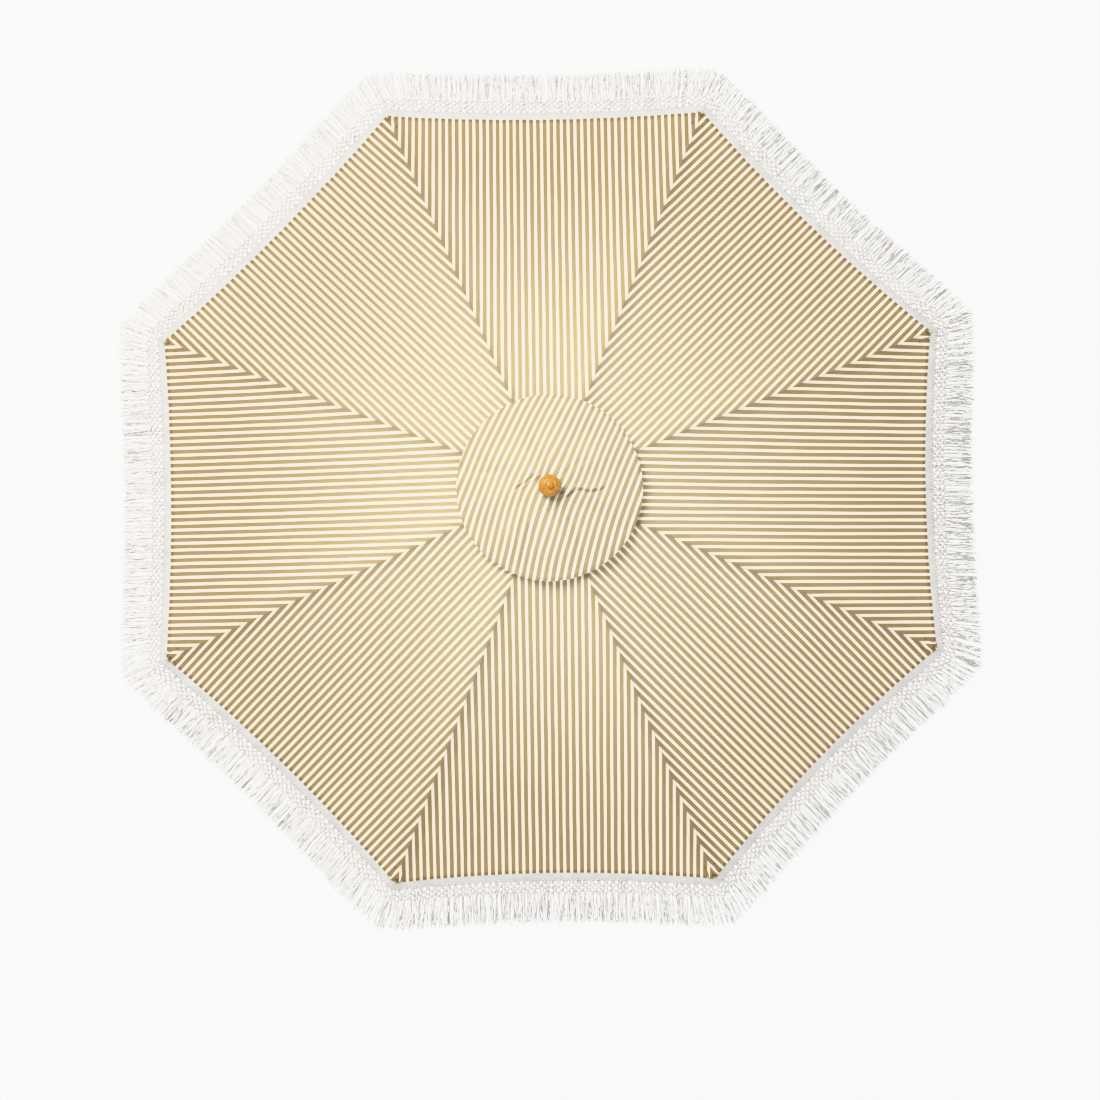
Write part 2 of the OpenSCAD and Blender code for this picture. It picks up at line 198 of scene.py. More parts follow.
def make_camera():
    elevation, azimuth, distance = math.radians(86.52), math.radians(-0.77), 11.0
    right = Vector((math.cos(azimuth), math.sin(azimuth), 0))
    back = Vector((math.sin(azimuth) * math.cos(elevation), -math.cos(azimuth) * math.cos(elevation),
                   math.sin(elevation)))
    data = bpy.data.cameras.new("camera")
    target = Vector((0, 0, 1.998))
    data.sensor_width, data.lens = 36.0, 99.8
    data.shift_x, data.shift_y = 0.0004, -0.0505
    data.clip_end = 200
    cam = bpy.data.objects.new("camera", data)
    cam.matrix_world = Matrix((right, back.cross(right), back)).transposed().to_4x4()
    cam.location = target + back * distance
    bpy.context.scene.collection.objects.link(cam)
    bpy.context.scene.camera = cam


def area_light(name, azimuth, elevation, distance, size, power, colour):
    """A round lamp that shines at the object's middle, at the height AIM_Z."""
    data = bpy.data.lights.new(name, "AREA")
    data.shape, data.size, data.energy, data.color = "DISK", size, power, colour
    lamp = bpy.data.objects.new(name, data)
    a, e = math.radians(azimuth), math.radians(elevation)
    out = Vector((math.cos(a) * math.cos(e), math.sin(a) * math.cos(e), math.sin(e)))
    lamp.location = Vector((0, 0, AIM_Z)) + out * distance
    lamp.rotation_euler = out.to_track_quat("Z", "Y").to_euler()
    lamp.visible_camera = False
    bpy.context.scene.collection.objects.link(lamp)


def make_studio():
    world = bpy.data.worlds.new("studio")
    bpy.context.scene.world = world
    world.use_nodes = True
    n = Graph(world.node_tree)
    background = n.node("ShaderNodeBackground")
    height = n.split(n.node("ShaderNodeTexCoord").outputs["Generated"])[2]
    sky = ((0.0, (1.62, 1.62, 1.62)), (0.05, (1.24, 1.24, 1.25)), (0.14, (1.0, 1.0, 1.02)),
           (0.42, (0.62, 0.63, 0.65)), (1.0, (0.60, 0.60, 0.61)))
    n.link(n.ramp(height, sky), background.inputs["Color"])
    background.inputs["Strength"].default_value = 1.0
    n.link(background.outputs[0], n.node("ShaderNodeOutputWorld").inputs["Surface"])
    area_light("key", 130, 56, 13.0, 6.5, 3050, (1.0, 0.985, 0.96))
    area_light("fill", -70, 35, 13.0, 8.0, 650, (0.96, 0.98, 1.0))
    bpy.context.scene.view_settings.view_transform = "Khronos PBR Neutral"

    mesh = bpy.data.meshes.new("floor")
    corners = [(x * FLOOR_SIDE, y * FLOOR_SIDE, 0) for x, y in ((-1, -1), (1, -1), (1, 1), (-1, 1))]
    mesh.from_pydata(corners, [], [(0, 1, 2, 3)])
    floor = bpy.data.objects.new("floor", mesh)
    bpy.context.scene.collection.objects.link(floor)
    mesh.materials.append(floor_material())


# ------------------------ shader graphs
class Graph:
    """Short calls for building a node tree."""

    def __init__(self, tree):
        self.tree = tree
        tree.nodes.clear()

    def node(self, kind, **props):
        n = self.tree.nodes.new(kind)
        for key, value in props.items():
            setattr(n, key, value)
        return n

    def link(self, a, b):
        self.tree.links.new(a, b)

    def put(self, socket, value):
        if isinstance(value, bpy.types.NodeSocket):
            self.link(value, socket)
        else:
            socket.default_value = value

    def math(self, op, a, b=None, c=None):
        n = self.node("ShaderNodeMath", operation=op)
        for k, v in enumerate((a, b, c)):
            if v is not None:
                self.put(n.inputs[k], v)
        return n.outputs[0]

    def times(self, a, b):
        return self.math("MULTIPLY", a, b)

    def plus(self, a, b):
        return self.math("ADD", a, b)

    def highest(self, a, b):
        return self.math("MAXIMUM", a, b)

    def scaled(self, vector, factors):
        n = self.node("ShaderNodeVectorMath", operation="MULTIPLY")
        self.put(n.inputs[0], vector)
        n.inputs[1].default_value = factors
        return n.outputs[0]

    def split(self, vector):
        n = self.node("ShaderNodeSeparateXYZ")
        self.put(n.inputs[0], vector)
        return n.outputs

    def join(self, x, y, z=0.0):
        """A vector from three sockets or numbers."""
        n = self.node("ShaderNodeCombineXYZ")
        for k, v in enumerate((x, y, z)):
            self.put(n.inputs[k], v)
        return n.outputs[0]

    def uv(self, name):
        return self.node("ShaderNodeUVMap", uv_map=name).outputs[0]

    def place(self):
        """Object coordinates, which stay with a piece as it moves."""
        return self.node("ShaderNodeTexCoord").outputs["Object"]

    def noise(self, vector, scale, detail, rough=0.5, warp=0.0):
        n = self.node("ShaderNodeTexNoise")
        self.put(n.inputs["Vector"], vector)
        for key, value in (("Scale", scale), ("Detail", detail), ("Roughness", rough), ("Distortion", warp)):
            n.inputs[key].default_value = value
        return n.outputs["Fac"]

    def step(self, value, low, high, out_low=0.0, out_high=1.0):
        """Smooth change from out_low to out_high as value goes from low to high."""
        n = self.node("ShaderNodeMapRange", interpolation_type="SMOOTHSTEP")
        self.put(n.inputs["Value"], value)
        n.inputs["From Min"].default_value, n.inputs["From Max"].default_value = low, high
        n.inputs["To Min"].default_value, n.inputs["To Max"].default_value = out_low, out_high
        return n.outputs["Result"]

    def mix(self, share, a, b):
        n = self.node("ShaderNodeMix", data_type="RGBA")
        self.put(n.inputs["Factor"], share)
        for key, v in ((6, a), (7, b)):
            self.put(n.inputs[key], v if isinstance(v, bpy.types.NodeSocket) else (*v, 1.0))
        return n.outputs[2]

    def ramp(self, share, stops):
        n = self.node("ShaderNodeValToRGB")
        n.color_ramp.interpolation = "EASE"
        while len(n.color_ramp.elements) < len(stops):
            n.color_ramp.elements.new(0.5)
        for element, (at, colour) in zip(n.color_ramp.elements, stops):
            element.position = at
            element.color = (*colour, 1.0)
        self.put(n.inputs["Fac"], share)
        return n.outputs["Color"]

    def bump(self, height, distance, strength=1.0, under=None):
        n = self.node("ShaderNodeBump")
        n.inputs["Strength"].default_value = strength
        n.inputs["Distance"].default_value = distance
        self.put(n.inputs["Height"], height)
        if under is not None:
            self.link(under, n.inputs["Normal"])
        return n.outputs["Normal"]


def material(name):
    m = bpy.data.materials.new(name)
    m.use_nodes = True
    return m, Graph(m.node_tree)


def surface(g, colour, roughness, normal=None, through=0.0, **values):
    """Principled shader, with a share of light let through thin cloth."""
    p = g.node("ShaderNodeBsdfPrincipled")
    g.put(p.inputs["Base Color"], colour)
    g.put(p.inputs["Roughness"], roughness)
    if normal is not None:
        g.link(normal, p.inputs["Normal"])
    for key, value in values.items():
        p.inputs[key.replace("_", " ")].default_value = value
    out = p.outputs[0]
    if through:
        t = g.node("ShaderNodeBsdfTranslucent")
        g.put(t.inputs["Color"], colour)
        mixed = g.node("ShaderNodeMixShader")
        mixed.inputs[0].default_value = through
        g.link(out, mixed.inputs[1])
        g.link(t.outputs[0], mixed.inputs[2])
        out = mixed.outputs[0]
    g.link(out, g.node("ShaderNodeOutputMaterial").inputs["Surface"])


def floor_material():
    m, g = material("pale_floor")
    p = g.node("ShaderNodeBsdfDiffuse")
    g.put(p.inputs["Color"], g.mix(g.noise(g.place(), 0.6, 3), (0.130, 0.130, 0.130), (0.140, 0.140, 0.139)))
    glow = g.node("ShaderNodeEmission")
    glow.inputs["Strength"].default_value = GLOW
    both = g.node("ShaderNodeAddShader")
    g.link(p.outputs[0], both.inputs[0])
    g.link(glow.outputs[0], both.inputs[1])
    g.link(both.outputs[0], g.node("ShaderNodeOutputMaterial").inputs["Surface"])
    return m


def weave(g, u, v, pitch):
    """Height of a plain weave: warp and weft yarns that pass over each other in turn."""
    warp = g.math("SINE", g.times(u, 2 * math.pi / pitch))
    weft = g.math("SINE", g.times(v, 2 * math.pi / pitch))
    return g.times(warp, weft)


def streaks(g, across, along, fine_across, fine_along, detail=2.0):
    """Noise drawn out along the yarns."""
    return g.noise(g.join(g.times(across, fine_across), g.times(along, fine_along)), 1.0, detail)


def stripes(g, across, along):
    """0 on a tan stripe and 1 on a cream one, with yarn-fine edges that wander a little."""
    wander = g.math("MULTIPLY_ADD", streaks(g, across, along, 7.0, 2.4), 0.22, -0.11)
    fuzz = g.math("MULTIPLY_ADD", streaks(g, across, along, 900.0, 260.0, 1.0), 0.03, -0.015)
    moved = g.plus(g.math("DIVIDE", across, STRIPE), g.plus(wander, fuzz))
    from_middle = g.math("PINGPONG", moved, 0.5)
    return g.step(from_middle, TAN_SHARE / 2 - 0.012, TAN_SHARE / 2 + 0.012)


def from_line(g, distance, at):
    return g.math("ABSOLUTE", g.math("SUBTRACT", distance, at))


def stitch_row(g, distance, along, at, pitch=0.0045, width=0.0007):
    """1 on the thread of a row of stitches that runs at a distance from an edge."""
    row = g.step(from_line(g, distance, at), width, width * 0.45)
    gap = g.math("PINGPONG", g.math("DIVIDE", along, pitch), 0.5)
    return g.times(row, g.step(gap, 0.08, 0.14))


# the rim tones are painted shade, for a rim darker than the middle
TAN_IN, TAN_RIM_SHADE, TAN_CAP = (0.350, 0.293, 0.169), (0.205, 0.1545, 0.080), (0.369, 0.310, 0.190)
# the doubled tones are painted shade over the doubled hem and seams
TAN_YARN, TAN_SLUB, TAN_DOUBLED_SHADE = (0.230, 0.155, 0.062), (0.50, 0.41, 0.23), (0.120, 0.078, 0.030)
CREAM_IN, CREAM_RIM_SHADE = (0.885, 0.845, 0.735), (0.843, 0.768, 0.650)
CREAM_YARN, CREAM_DOUBLED_SHADE = (0.80, 0.72, 0.57), (0.55, 0.45, 0.30)
DUST, THREAD = (0.42, 0.34, 0.22), (0.42, 0.33, 0.20)


def canvas_material(name, panel=True):
    """Woven awning stripe. UV 'cloth' is (across, along) in metres and UV 'edge' is the distance
    to the seam and to the hem."""
    m, g = material(name)
    across, along, _ = g.split(g.uv("cloth"))
    seam, hem, _ = g.split(g.uv("edge"))
    yarn = streaks(g, across, along, 1400.0, 14.0)
    slub = streaks(g, across, along, 60.0, 900.0)
    cloud = g.noise(g.place(), 3.5, 4.0, 0.6)
    # painted shade: the cloth is painted darker towards the rim and paler towards the middle
    painted_rim_shade = g.step(along, 0.30, 1.30) if panel else g.step(hem, 0.30, 0.0, 0.0, 0.12)
    tan = g.mix(painted_rim_shade, TAN_IN if panel else TAN_CAP, TAN_RIM_SHADE)
    tan = g.mix(g.step(yarn, 0.35, 0.75, 0.0, 0.5), tan, TAN_YARN)
    tan = g.mix(g.step(slub, 0.45, 0.8, 0.0, 0.15), tan, TAN_SLUB)
    cream = g.mix(painted_rim_shade, CREAM_IN, CREAM_RIM_SHADE)
    cream = g.mix(g.times(g.step(yarn, 0.40, 0.8), 0.35), cream, CREAM_YARN)
    # painted shade: where the cloth is doubled along the hem and the felled seams it is painted darker, for
    # the light the doubled cloth lets through less, most of all on the tan
    doubled = g.highest(g.step(hem, HEM_FOLD + 0.001, HEM_FOLD - 0.001),
                        g.times(g.step(seam, SEAM_FOLD + 0.0006, SEAM_FOLD - 0.0006), 0.5))
    tan = g.mix(g.times(doubled, 0.55 if panel else 0.10), tan, TAN_DOUBLED_SHADE)
    cream = g.mix(g.times(doubled, 0.08), cream, CREAM_DOUBLED_SHADE)
    colour = g.mix(stripes(g, across, along), tan, cream)
    colour = g.mix(g.step(cloud, 0.35, 0.75, 0.0, 0.07), colour, DUST)
    felled = g.highest(*(stitch_row(g, seam, along, at) for at in SEAM_STITCHES))
    thread = g.highest(stitch_row(g, hem, across, HEM_STITCH), felled)
    colour = g.mix(g.times(thread, 0.7), colour, THREAD)
    threads = g.plus(g.times(yarn, 0.6), g.times(slub, 0.5))
    fine = g.bump(g.plus(g.times(weave(g, across, along, WEAVE), 0.5), threads), 0.00018, 0.7)
    pulled_in = g.times(g.step(from_line(g, hem, HEM_STITCH), 0.002, 0.0), 0.6)
    sewn = g.bump(g.math("SUBTRACT", thread, pulled_in), 0.0006, 0.8, fine)
    surface(g, colour, g.step(cloud, 0.2, 0.8, 0.80, 0.92), sewn, through=0.14,
            Specular_IOR_Level=0.25, Sheen_Weight=0.12, Sheen_Roughness=0.5)
    return m


COTTON, COTTON_DUSTY = (0.490, 0.479, 0.464), (0.415, 0.403, 0.386)
# the groove tone is painted shade for the cotton's crevices
COTTON_FLUFF, COTTON_GROOVE_SHADE = (0.550, 0.540, 0.526), (0.190, 0.183, 0.171)
TAPE_TONE, YARN_TONE = 0.98, 1.42           # the yarns are given a lighter tone than the tape
PLY_PITCH = 0.0045


def cotton_material(name, tape=False):
    """Cotton. On a yarn, UV 'cloth' is once round and metres along; on the tape it is metres both ways."""
    m, g = material(name)
    u, v, _ = g.split(g.uv("cloth"))
    cloud = g.noise(g.place(), 22.0, 3.0, 0.6)
    fibre = g.noise(g.place(), 1500.0, 2.0)
    tone = TAPE_TONE if tape else YARN_TONE
    clean, dusty, fluff, groove = (tuple(c * tone for c in colour)
                                   for colour in (COTTON, COTTON_DUSTY, COTTON_FLUFF, COTTON_GROOVE_SHADE))
    colour = g.mix(g.step(cloud, 0.3, 0.75), clean, dusty)
    colour = g.mix(g.times(g.step(fibre, 0.3, 0.7), 0.35), colour, fluff)
    if tape:
        twill = g.math("PINGPONG", g.math("DIVIDE", g.plus(u, v), TWILL), 0.5)
        height = g.plus(g.times(twill, 1.2), g.times(weave(g, u, v, TWILL / 2), 0.4))
        # painted shade in the twill's grooves
        colour = g.mix(g.times(g.step(twill, 0.12, 0.0), 0.45), colour, groove)
        normal = g.bump(height, 0.0006, 0.9)
    else:
        ply = g.math("PINGPONG", g.plus(u, g.math("DIVIDE", v, PLY_PITCH)), 0.25)
        # painted shade between the yarn's plies
        colour = g.mix(g.times(g.step(ply, 0.06, 0.0), 0.45), colour, groove)
        normal = g.bump(g.plus(g.times(ply, 4.0), fibre), 0.0005, 0.8)
    surface(g, colour, 0.95, normal, through=0.30,
            Specular_IOR_Level=0.15, Sheen_Weight=0.3, Sheen_Roughness=0.6)
    return m


def radial_place(g, offset):
    """Object coordinates along the nearest of eight directions: out, across, height and which direction."""
    x, y, z = g.split(g.place())
    angle = g.math("SUBTRACT", g.math("ARCTAN2", y, x), offset)
    k = g.math("ROUND", g.math("DIVIDE", angle, 2 * HALF))
    local = g.math("SUBTRACT", angle, g.times(k, 2 * HALF))
    r = g.math("SQRT", g.plus(g.times(x, x), g.times(y, y)))
    return g.times(r, g.math("COSINE", local)), g.times(r, g.math("SINE", local)), z, k


PORES, PORES_ALONG = 1500.0, 26.0


def wood_material(name, light, dark, fall=None, coat=0.25, roughness=0.42, figure=1.0):
    """Oiled timber with grain, pores and handling wear. The grain runs along Z, or, on pieces that run out
    from the mast, along each of them at the fall given."""
    m, g = material(name)
    if fall is None:
        grain = g.scaled(g.place(), (26.0, 26.0, 1.8))
        fine = g.scaled(g.place(), (PORES, PORES, PORES_ALONG))
    else:
        out, side, z, k = radial_place(g, HALF)
        high = g.math("MULTIPLY_ADD", out, math.tan(fall), z)
        shifted = g.math("MULTIPLY_ADD", k, 0.37, side)
        grain = g.join(g.times(out, 1.6), g.times(shifted, 26.0), g.times(high, 26.0))
        fine = g.join(g.times(out, PORES_ALONG), g.times(shifted, PORES), g.times(high, PORES))
    bend = g.noise(grain, 1.0, 3.0, 0.55, 0.6)
    rings = g.math("PINGPONG", g.times(bend, 9.0 * figure), 0.5)
    pores = g.noise(fine, 1.0, 2.0, 0.6)
    patches = g.step(g.noise(g.place(), 14.0, 3.0), 0.35, 0.8, 0.0, 0.30)
    colour = g.mix(g.step(rings, 0.05, 0.45), dark, light)
    colour = g.mix(g.times(g.step(pores, 0.52, 0.72), 0.45), colour, tuple(c * 0.55 for c in dark))
    colour = g.mix(patches, colour, tuple(c * 0.8 for c in light))
    height = g.math("SUBTRACT", g.times(rings, 0.5), g.times(g.step(pores, 0.5, 0.7), 0.8))
    worn = g.step(g.noise(g.place(), 60.0, 3.0), 0.3, 0.75, roughness - 0.08, roughness + 0.12)
    surface(g, colour, worn, g.bump(height, 0.0002, 0.5),
            Coat_Weight=coat, Coat_Roughness=0.22, Specular_IOR_Level=0.45)
    return m


def metal_material(name, bright, tarnish, roughness):
    m, g = material(name)
    cloud = g.noise(g.place(), 35.0, 4.0, 0.65)
    scratch = g.noise(g.place(), 900.0, 2.0)
    colour = g.mix(g.step(cloud, 0.42, 0.75, 0.0, 0.65), bright, tarnish)
    rough = g.plus(g.step(cloud, 0.35, 0.8, roughness, roughness + 0.20), g.times(scratch, 0.06))
    surface(g, colour, rough, g.bump(scratch, 0.00008, 0.5), Metallic=1.0)
    return m


# ------------------------ the canopy's cloth
def seam_z(r):
    """Height of the cloth's underside along a rib."""
    return PIVOT_Z + CLOTH_LIFT / math.cos(SLOPE) - (r - PIVOT_R) * math.tan(SLOPE)


def in_plan(out, across, azimuth):
    """X and Y of a place given out along a direction and across it."""
    c, s = math.cos(azimuth), math.sin(azimuth)
    return out * c - across * s, out * s + across * c


def seam_distance(r, u):
    return (1 - np.abs(u)) * r * math.sin(HALF) * math.cos(HALF)


def cloth_point(g, r, u, lift=0.0):
    """Panel g's cloth at seam radius r, u from -1 to 1 between its ribs, with folds and stitched edges."""
    r, u = np.broadcast_arrays(np.asarray(r, float), np.asarray(u, float))
    t = (r - VENT_R) / (CANOPY_R - VENT_R)
    free = 1 - u * u
    hollow = HOLLOW + HOLLOW_CHANGE * math.cos((g + 1) * 2 * HALF)
    along = r * math.cos(HALF) - hollow * t * t * free
    across = u * r * math.sin(HALF)
    z = seam_z(r) - (SAG * np.sin(math.pi * np.clip(t, 0, 1)) + 0.010 * t) * free
    x, y = in_plan(along, across, g * 2 * HALF)
    seam = seam_distance(r, u)
    hem = (CANOPY_R - r) * math.cos(HALF)
    loose = smooth(0.004, 0.060, seam)
    # broad waves and smaller ripples of the loose cloth
    d = loose * (0.0038 * perlin(x * 3.1, y * 3.1, 1.7) + 0.0016 * perlin(x * 8.5, y * 8.5, 6.1))
    # a felled seam is thicker, and its stitches pucker the cloth alike on both sides
    d += 0.0007 * (1 - smooth(0.0054, 0.0072, seam))
    rib = (2 * g + np.sign(u)) % 16
    pucker = 0.5 + 0.5 * np.sin(2 * math.pi * r / 0.037 + 2.2 * perlin(r * 9, rib * 3.3))
    d += 0.0008 * pucker * smooth(0.006, 0.012, seam) * np.exp(-seam / 0.022)
    # the hem is thicker and waves a little
    d += 0.0007 * (1 - smooth(0.0100, 0.0125, hem))
    wave = np.sin(2 * math.pi * across / 0.142 + 1.9 * g + 2.0 * perlin(across * 7, g * 5.3))
    d += 0.0030 * wave * np.exp(-hem / 0.060) * loose
    # pulls fan out from the corners, and the vent's edge is slightly gathered
    corner = np.hypot(hem, seam) + TINY
    spread = np.arctan2(seam, hem * 0.92 + TINY)
    d += 0.0015 * (np.cos(13 * spread) - 1) * np.exp(-corner / 0.30) * smooth(0.0, 0.06, corner)
    d += 0.0012 * np.sin(u * 9.0 + 1.3 * g) * np.exp(-(r - VENT_R) / 0.10) * loose
    return np.stack([x, y, z + (d + lift)], -1)


def seam_columns(r, sign, n=34):
    """u values from the seam at a rib to the panel's middle, close together over the felled seam."""
    width = seam_distance(r, 0)
    near = 1 - np.array([0, 0.0026, 0.0054, 0.0072, 0.0100, 0.0150]) / width[:, None]
    rest = near[:, -1:] * (1 - np.arange(1, n + 1) / n)[None, :]
    return sign * np.concatenate([near, rest], 1)


def cloth_rows():
    """Seam radii from the vent to the hem, close together at both stitched edges."""
    hem = np.array([0.0130, 0.0112, 0.0090, 0.0060, 0.0030, 0.0]) / math.cos(HALF)
    vent = np.array([0.0, 0.003, 0.006, 0.010])
    body = np.linspace(VENT_R + 0.010, CANOPY_R - hem[0], 84)
    return np.concatenate([VENT_R + vent[:-1], body, CANOPY_R - hem[1:]])


def cloth_uv(r, u):
    """(across, along) and (to the seam, to the hem), in metres."""
    across = u * r * math.sin(HALF)
    along = np.broadcast_to(r * math.cos(HALF), across.shape)
    hem = np.broadcast_to((CANOPY_R - r) * math.cos(HALF), across.shape)
    return np.stack([across, along], -1), np.stack([seam_distance(r, u), hem], -1)


def half_name(kind, i, side):
    return f"{kind}_{i}_{'left' if side > 0 else 'right'}"


def panel_of(i, side):
    """The panel beside rib i on its left (+1) or right (-1), and the sign of u at that rib."""
    return (i if side > 0 else i - 1), -side


def gather(piece):
    """Gives the piece its own copy of its mesh."""
    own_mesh(piece)


def half_panel(i, side, canvas):
    g, sign = panel_of(i, side)
    r = cloth_rows()[:, None]
    u = seam_columns(r[:, 0], sign)
    uv, edge = cloth_uv(r, u)
    s = Shape()
    s.grid(cloth_point(g, r, u, CLOTH_T / 2), uv, edge, flip=side < 0)
    return s.piece(half_name("panel", i, side), f"rib_arm_{i}", "striped_cloth", canvas)


def rib_band(i, canvas):
    """Doubled cloth under the seam, which stays on the rib when the canopy is folded."""
    s = Shape()
    r = np.linspace(VENT_R + 0.008, CANOPY_R - 0.016, 60)[:, None]
    wide = BAND_IN + (BAND_OUT - BAND_IN) * (r - VENT_R) / (CANOPY_R - VENT_R)
    for side in (1, -1):
        g, sign = panel_of(i, side)
        u = sign * (1 - (wide / seam_distance(r, 0)) * np.linspace(0, 1, 9)[None, :])
        uv, edge = cloth_uv(r, u)
        s.grid(cloth_point(g, r, u, -0.0016), uv, edge, flip=side < 0)
    return s.piece(f"rib_band_{i}", f"rib_arm_{i}", "striped_cloth", canvas)


# ------------------------ the fringe
def fringe_point(g, x, d, lift=0.0):
    """A point of the fringe of panel g: x along the hem from the panel's middle, d out from the hem."""
    x, d, lift = np.broadcast_arrays(np.asarray(x, float), np.asarray(d, float), np.asarray(lift, float))
    u = np.clip(x / HEM_HALF, -1, 1)
    inside = np.minimum(d, 0)
    p = cloth_point(g, CANOPY_R + inside / math.cos(HALF), u, -0.0003)
    bend = FALL_B - FALL_A
    fall = FALL_A + bend * (np.clip(d, 0, None) / FRINGE_L)
    out = FRINGE_L * (np.sin(fall) - math.sin(FALL_A)) / bend
    drop = FRINGE_L * (math.cos(FALL_A) - np.cos(fall)) / bend
    turn = g * 2 * HALF + HALF * np.sign(u) * np.abs(u) ** 6
    p[..., 0] += (out + lift * np.sin(fall)) * np.cos(turn)
    p[..., 1] += (out + lift * np.sin(fall)) * np.sin(turn)
    p[..., 2] += lift * np.cos(fall) - drop
    return p


def fringe_header(i, side, tape):
    """Woven tape along the hem, with a small scallop between the cords."""
    g, sign = panel_of(i, side)
    x = sign * np.linspace(0, 1, 4 * CORDS + 1) * HEM_HALF
    cord = 2 * math.pi * x / CORD_PITCH
    rows = np.array([-LAP, -0.006, 0.0, 0.006, 0.013, 0.020, 0.026, 0.0275, TAPE_W])
    d = rows[:, None] + np.clip((rows[:, None] - 0.020) / 0.009, 0, 1) * 0.0016 * np.cos(cord)[None, :]
    lift = (-0.0004 + 0.0009 * np.sin(math.pi * np.clip(rows / TAPE_W, 0, 1))[:, None]
            + 0.0005 * np.sin(cord)[None, :] * smooth(0.004, 0.02, rows)[:, None])
    points = fringe_point(g, x[None, :], d, lift)
    uv = np.stack(np.broadcast_arrays(x[None, :], d), -1)
    s = Shape()
    s.grid(points, uv, flip=side < 0)
    return s.piece(half_name("fringe_tape", i, side), f"rib_arm_{i}", "cotton", tape)


def knot_place(k, row):
    """Where cord k is tied in a row: with its left and its right neighbour in turn, in cord pitches."""
    return k + 1 if (k + row) % 2 == 0 else k


def ellipsoid(s, centre, radii, axes):
    turn = 2 * math.pi * np.arange(7) / 6
    rise = np.radians([-90, -50, -15, 20, 55, 90])[:, None]
    local = np.stack(np.broadcast_arrays(np.cos(rise) * np.cos(turn) * radii[0],
                                         np.cos(rise) * np.sin(turn) * radii[1],
                                         np.sin(rise) * radii[2]), 2)
    uv = np.stack(np.broadcast_arrays(turn[None, :] / (2 * math.pi), rise * 0.004), 2)
    s.grid(local @ axes + centre, uv)


